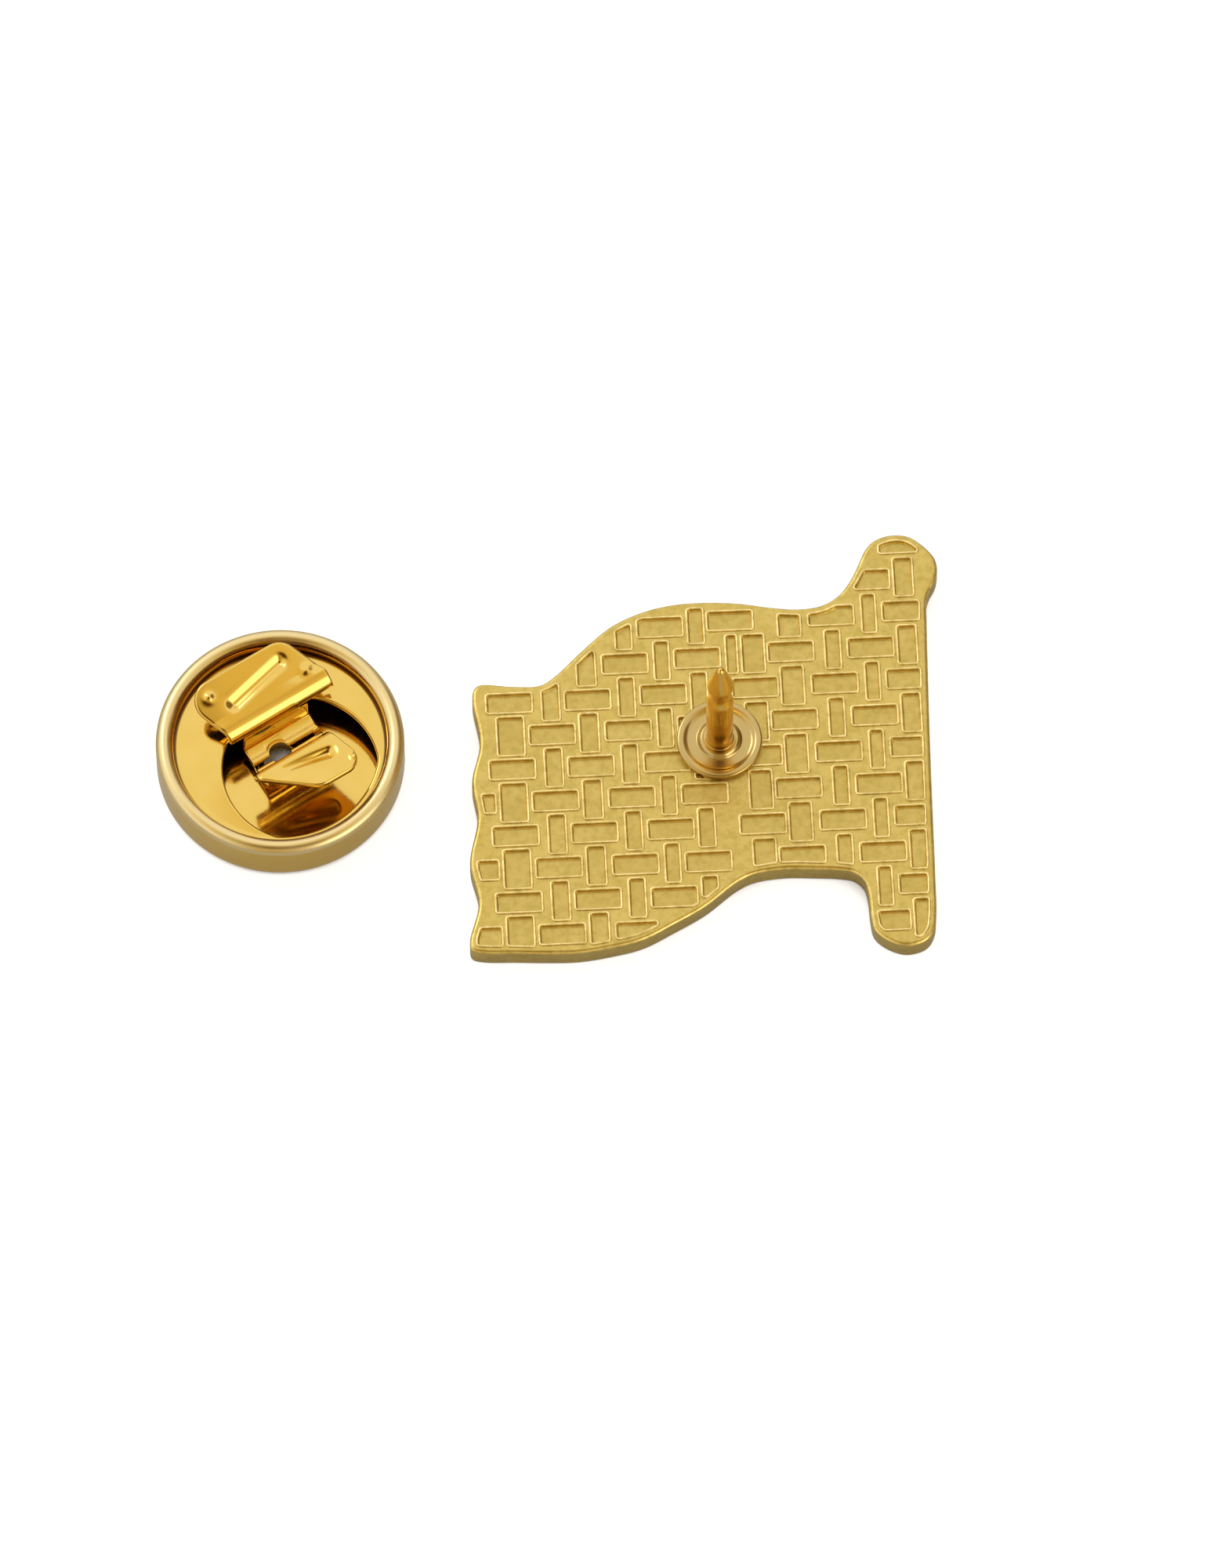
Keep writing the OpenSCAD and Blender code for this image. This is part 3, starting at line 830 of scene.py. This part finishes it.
wing = {
    "height": 3.7, "sheet": 0.32, "legSheet": 0.29, "edgeRound": 0.1,
    "legV": 1.08, "wallZ": 2.41, "legTop": 2.55,
    "jaw": {
        "z": 1.05, "gap": 0.12, "notch": 0.5, "notchFrom": 0.9,
        "flatTo": 0.6, "bend": (0.1, 0.1), "rise": 0.36,
    },
    "legU": (-1.4, 2.2), "ribRadius": 0.4, "ribDepth": 0.22, "ribFall": 2.2, "bumpFall": 1.6,
    "lipFrom": 0.75, "lipReach": 0.4, "droopReach": 2.5,  # the rib and the droop set in past the crest
    "across": 90, "along": 72, "legAcross": 72, "legAlong": 40, "crestSteps": 24,
    # each wing's crest is its bend's radius and its lip's slope in degrees; its plan is the wall and lip
    # from above as [u, v, rounding], going round from the fold; its bumps are [u, v, radius, height]
    "far": {
        "side": 1, "crest": (0.87, 14.0), "droop": 0.08,
        "plan": [(-2, 0, 0), (-2, 1.3, 0), (-3.05, 3.97, 1), (2.6, 3.97, 1), (3.6, 1.7, 0.3), (3.6, 0, 0)],
        "rib": {"at": (0.48, 2.79), "length": 2.9, "turn": 12.0},
        "bumps": [(-1.82, 3.24, 0.26, 0.13), (2.8, 2.05, 0.34, 0.13)],
    },
    "near": {
        "side": -1, "crest": (0.6, 10.0), "droop": 0.05,
        "plan": [
            (-1.9, 0, 0), (-2.1, 1.5, 0.3), (0.1, 3.5, 1), (2.6, 3.5, 0.8), (2.1, 1.5, 0.3), (1.8, 0, 0),
        ],
        "rib": {"at": (0.3, 1.86), "length": 2.1, "turn": 15.0},
        "bumps": [(2.2, 3.0, 0.22, 0.1)],
    },
}


def ribDepth(u, v, kind):
    # the sunk rib, and the small raised bumps near the lip's outer corners
    rib = kind["rib"]
    turn = math.radians(rib["turn"])
    half = Vector((math.cos(turn), math.sin(turn))) * rib["length"] / 2
    start, way, here = Vector(rib["at"]) - half, half * 2, Vector((u, v))
    t = min(1, max(0, (here - start).dot(way) / way.length_squared))
    away = (here - start - way * t).length / wing["ribRadius"]
    sunk = wing["ribDepth"] * math.exp(-(away ** 2) * wing["ribFall"])
    for x, y, radius, height in kind["bumps"]:
        away = (here - Vector((x, y))).length / radius
        sunk -= height * math.exp(-(away ** 2) * wing["bumpFall"])
    return sunk


def roundedPlan(corners, steps=12):
    path = []
    for i, (u, v, r) in enumerate(corners):
        here = Vector((u, v))
        if r == 0:
            path.append(here)
            continue
        back, ahead = [(Vector(corners[k][:2]) - here).normalized() for k in (i - 1, i + 1)]
        half = back.angle(ahead) / 2
        centre = here + (back + ahead).normalized() * r / math.sin(half)
        first, last = [here + way * r / math.tan(half) - centre for way in (back, ahead)]
        path += [centre + first.lerp(last, k / steps).normalized() * r for k in range(steps + 1)]
    return path


def planSpan(plan, v):
    # where the plan's outline lies at this distance from the fold
    found = []
    for a, b in zip(plan, plan[1:]):
        if min(a.y, b.y) <= v <= max(a.y, b.y):
            level = abs(b.y - a.y) < 1e-6
            found += [a.x, b.x] if level else [a.x + (b.x - a.x) * (v - a.y) / (b.y - a.y)]
    return min(found), max(found)


def pointsAlong(path, places):
    # the points of a path at the given distances from its start
    found, gone, i = [], 0, 0
    for place in places:
        while i < len(path) - 2 and gone + (path[i + 1] - path[i]).length < place:
            gone += (path[i + 1] - path[i]).length
            i += 1
        step = path[i + 1] - path[i]
        found.append(path[i] + step * min(1, (place - gone) / step.length))
    return found


def spread(length, count, edge):
    # places along a length, closer together where its two ends are rounded
    ends = [edge * (1 - math.cos(k * math.pi / 6)) for k in range(3)]
    even = [edge + (length - 2 * edge) * k / count for k in range(count + 1)]
    return ends + even + [length - e for e in reversed(ends)]


def halfSheet(away, thickness):
    # half the sheet's thickness this far from its edge, which is rounded
    edge = wing["edgeRound"]
    return thickness / 2 - edge + math.sqrt(edge ** 2 - (edge - min(edge, max(0, away))) ** 2)


def solidSheet(name, path, places, rowAt, side, thickness):
    # a closed sheet along a path; rowAt gives a row's middle points as (u, v, z, distance from the edge)
    total = places[-1]
    points, rows = [], []
    for i, (p, place) in enumerate(zip(path, places)):
        way = (path[min(i + 1, len(path) - 1)] - path[max(i - 1, 0)]).normalized()
        nearEnd = min(place, total - place)
        rows.append([(u, v, z, way, halfSheet(min(away, nearEnd), thickness)) for u, v, z, away in rowAt(p)])
    for face in (1, -1):
        for row in rows:
            for u, v, z, way, half in row:
                points.append((u, side * (v - way.y * half * face), z + way.x * half * face))
    high, wide = len(rows), len(rows[0])
    shell = high * wide
    faces = []
    for a in range(high - 1):
        for b in range(wide - 1):
            quad = [a * wide + b, a * wide + b + 1, (a + 1) * wide + b + 1, (a + 1) * wide + b]
            faces += [quad, [k + shell for k in reversed(quad)]]
    around = list(range(wide)) + [a * wide + wide - 1 for a in range(1, high)]
    around += [(high - 1) * wide + b for b in range(wide - 2, -1, -1)]
    around += [a * wide for a in range(high - 2, 0, -1)]
    faces += [(b, a, a + shell, b + shell) for a, b in zip(around, around[1:] + around[:1])]
    return newMesh(name, [onClutch(*p) for p in points], faces, polishedGold)


def wingLine(kind, outer):
    # the sheet's line in v and z: the jaw, the leg, the wall, the round crest and the lip
    size, jaw, steps = wing, wing["jaw"], wing["crestSteps"]
    radius, slope = kind["crest"][0], math.radians(kind["crest"][1])
    legV, jawZ, bent = size["legV"], jaw["z"], jaw["z"] + jaw["rise"]
    v, end = legV + radius, size["height"] - size["sheet"] / 2
    z = end - (outer - v + radius * math.sin(slope)) * math.tan(slope) - radius * math.cos(slope)
    leg = smoothThrough([
        (jaw["gap"], jawZ), (jaw["flatTo"], jawZ), (legV - jaw["bend"][0], jawZ + jaw["bend"][1]),
        (legV, bent), (legV, (bent + z) / 2), (legV, z),
    ], 8, closed=False)
    turns = [math.pi - k * (math.pi / 2 - slope) / steps for k in range(steps + 1)]
    crest = [Vector((v + radius * math.cos(a), z + radius * math.sin(a))) for a in turns]
    return leg[:-1] + crest + [Vector((outer, end))]


def cutAtHeight(line, z):
    # the line up to this height, and the line from there on
    i = next(i for i, p in enumerate(line) if p.y > z and p.x > wing["jaw"]["gap"])
    here = line[i - 1].lerp(line[i], (z - line[i - 1].y) / (line[i].y - line[i - 1].y))
    return line[:i] + [here], [here] + line[i:]


def makeWing(name, kind):
    size = wing
    plan = roundedPlan(kind["plan"])
    outer, edge = max(p.y for p in plan), size["edgeRound"]
    line = wingLine(kind, outer)
    lipFrom = size["legV"] + kind["crest"][0] * size["lipFrom"]
    jaw, (legFrom, legTo) = size["jaw"], size["legU"]

    def awayFrom(u, v):
        nearest = math.inf
        for a, b in zip(plan, plan[1:]):
            along = b - a
            t = min(1, max(0, (Vector((u, v)) - a).dot(along) / along.length_squared))
            nearest = min(nearest, (a + along * t - Vector((u, v))).length)
        return nearest

    def wallRow(p):
        v, z = p
        onLip = min(1, max(0, (v - lipFrom) / size["lipReach"]))
        first, last = planSpan(plan, min(v, outer - 1e-4))
        row = []
        for x in spread(last - first, size["across"], edge):
            u = first + x
            sunk = ribDepth(u, v, kind) + kind["droop"] * (u / size["droopReach"]) ** 2
            row.append((u, v, z - sunk * onLip, awayFrom(u, v)))
        return row

    def legRow(p):
        # the jaw's end is pulled back round the post, less and less up to where the notch starts
        pull = max(0, (jaw["notchFrom"] - p.x) / (jaw["notchFrom"] - jaw["gap"]))
        row = []
        for x in spread(legTo - legFrom, size["legAcross"], edge):
            u = legFrom + x
            start = max(math.sqrt(jaw["notch"] ** 2 - u * u) if abs(u) < jaw["notch"] else 0, jaw["gap"])
            row.append((u, p.x + (start - jaw["gap"]) * pull, p.y, min(x, legTo - u)))
        return row

    def sheetAlong(part, path, count, rowAt, thickness):
        places = spread(sum((b - a).length for a, b in zip(path, path[1:])), count, edge)
        return solidSheet(name + part, pointsAlong(path, places), places, rowAt, kind["side"], thickness)

    lipPath, legPath = cutAtHeight(line, size["wallZ"])[1], cutAtHeight(line, size["legTop"])[0]
    wall = sheetAlong("Wall", lipPath, size["along"], wallRow, size["sheet"])
    leg = sheetAlong("Leg", legPath, size["legAlong"], legRow, size["legSheet"])
    return joined(name, [wall, leg], polishedGold)


def joined(name, parts, material):
    whole = bmesh.new()
    for part in parts:
        whole.from_mesh(part.data)
        bpy.data.objects.remove(part)
    mesh = bpy.data.meshes.new(name)
    whole.to_mesh(mesh)
    whole.free()
    piece = bpy.data.objects.new(name, mesh)
    scene.collection.objects.link(piece)
    tidyShell(piece, 50)
    mesh.materials.append(material)
    return piece


clutchCup = makeCup()
springDisc = makeSpringPlate()
wingFar = makeWing("wingFar", wing["far"])
wingNear = makeWing("wingNear", wing["near"])
print("clutch made")


# Which piece moves with what, and which solid it stands for

for piece, body, nodes, slot in (
    (badgePlate, "badge", ["badge"], "badge"),
    (pinPost, "badge", ["badge"], "badge"),
    (clutchCup, "badge", ["clutch_cup"], "clutch"),
    (springDisc, "badge", ["spring_plate"], "clutch"),
    (wingFar, "wing_a", ["wing_a"], "clutch"),
    (wingNear, "wing_b", ["wing_b"], "clutch"),
):
    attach(piece, body)
    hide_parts(*nodes)


# Table, light and camera

studio = {
    # the table glows by the second value for the camera, as a lit sweep does, and by the first for all else
    "tableReach": 3, "tableWhite": 0.35, "tableGlow": (0.2, 0.85),
    # painted shade: the table's glow is dimmed by ambient occlusion within this reach, mapped over this band
    "shutInReach": 4 * mm, "shutInShade": (0.24, 0.46),
    "sky": (1.12, 1.09, 1.02),
    "patches": [  # what the metal mirrors: half angles of a patch and of its soft edge, in degrees
        {"towards": (0.0, -0.4226, 0.9063), "full": 33, "fade": 46, "colour": (0.95, 0.76, 0.34)},
        {"towards": (0.0, -0.4226, 0.9063), "full": 10, "fade": 29, "colour": (0.12, 0.05, 0.01)},
        {"towards": (0.0, -0.91, 0.41), "full": 16, "fade": 36, "colour": (0.62, 0.46, 0.2)},
        {"towards": (0.88, 0.41, 0.25), "full": 22, "fade": 42, "colour": (0.3, 0.19, 0.08)},
        {"towards": (0.69, -0.64, 0.36), "full": 14, "fade": 25, "colour": (2.4, 2.3, 2.0)},
    ],
    "horizonDark": 0.2, "horizonBand": (0.0, 0.16),  # the sky is dimmer down by the table
    "leftBox": {"at": (-0.3, 0.32, 0.42), "size": 0.2, "watts": 0.4},
    "camera": {
        "target": (0.00265015, -0.00173575, 0.00037314), "away": 0.7, "elevation": 65.0, "lens": 347.76,
    },
}


def makeStage():
    mesh = bpy.data.meshes.new("table")
    reach = studio["tableReach"]
    corners = [(-reach, -reach, 0), (reach, -reach, 0), (reach, reach, 0), (-reach, reach, 0)]
    mesh.from_pydata(corners, [], [(0, 1, 2, 3)])
    table = bpy.data.objects.new("table", mesh)
    scene.collection.objects.link(table)
    paper = bpy.data.materials.new("whitePaper")
    paper.use_nodes = True
    shader = paper.node_tree.nodes["Principled BSDF"]
    white = studio["tableWhite"]
    shader.inputs["Base Color"].default_value = (white, white, white, 1)
    shader.inputs["Roughness"].default_value = 0.9
    shader.inputs["Specular IOR Level"].default_value = 0.1
    shader.inputs["Emission Color"].default_value = (1, 1, 1, 1)
    tree = paper.node_tree
    glow = remap(tree, addNode(tree, "LightPath").outputs["Is Camera Ray"], (0.0, 1.0), studio["tableGlow"])
    # painted shade: the paper's glow is dimmed by ambient occlusion where it is shut in, as under the
    # clutch's hole
    shut = addNode(tree, "AmbientOcclusion", {"samples": 8}, Distance=studio["shutInReach"])
    open_ = remap(tree, shut.outputs["AO"], studio["shutInShade"])
    lit = addNode(tree, "Math", {"operation": "MULTIPLY"}, in0=glow, in1=open_)
    tree.links.new(lit.outputs[0], shader.inputs["Emission Strength"])
    mesh.materials.append(paper)


def makeSky():
    world = bpy.data.worlds.new("studioSky")
    world.use_nodes = True
    scene.world = world
    tree = world.node_tree
    way = addNode(tree, "TexCoord").outputs["Generated"]
    # white all round, with warm and dark patches overhead, in front and at the right, and one bright patch
    colour = (*studio["sky"], 1)
    for patch in studio["patches"]:
        towards = Vector(patch["towards"]).normalized()
        facing = addNode(tree, "VectorMath", {"operation": "DOT_PRODUCT"}, in0=way, in1=towards)
        band = [math.cos(math.radians(patch[edge])) for edge in ("fade", "full")]
        share = remap(tree, facing.outputs["Value"], band, smooth=True)
        colour = blend(tree, share, colour, (*patch["colour"], 1))
    tree.links.new(colour, tree.nodes["Background"].inputs["Color"])
    height = addNode(tree, "SeparateXYZ", None, Vector=way).outputs["Z"]
    level = remap(tree, height, studio["horizonBand"], (studio["horizonDark"], 1.0), smooth=True)
    tree.links.new(level, tree.nodes["Background"].inputs["Strength"])


def makeBox(name, box):
    light = bpy.data.lights.new(name, "AREA")
    light.size, light.energy = box["size"], box["watts"]
    lamp = bpy.data.objects.new(name, light)
    lamp.location = box["at"]
    lamp.rotation_euler = (-Vector(box["at"])).to_track_quat("-Z", "Y").to_euler()
    scene.collection.objects.link(lamp)


def makeCamera():
    view = studio["camera"]
    data = bpy.data.cameras.new("camera")
    data.lens, data.sensor_width = view["lens"], 36
    data.clip_start, data.clip_end = 0.01, 10
    camera = bpy.data.objects.new("camera", data)
    tilt = math.radians(view["elevation"])
    camera.location = Vector(view["target"]) + Vector((0, -math.cos(tilt), math.sin(tilt))) * view["away"]
    camera.rotation_euler = (math.radians(90 - view["elevation"]), 0, 0)
    scene.collection.objects.link(camera)
    scene.camera = camera


makeStage()
makeSky()
makeBox("leftBox", studio["leftBox"])
makeCamera()
scene.view_settings.view_transform = "Standard"
print("studio ready")
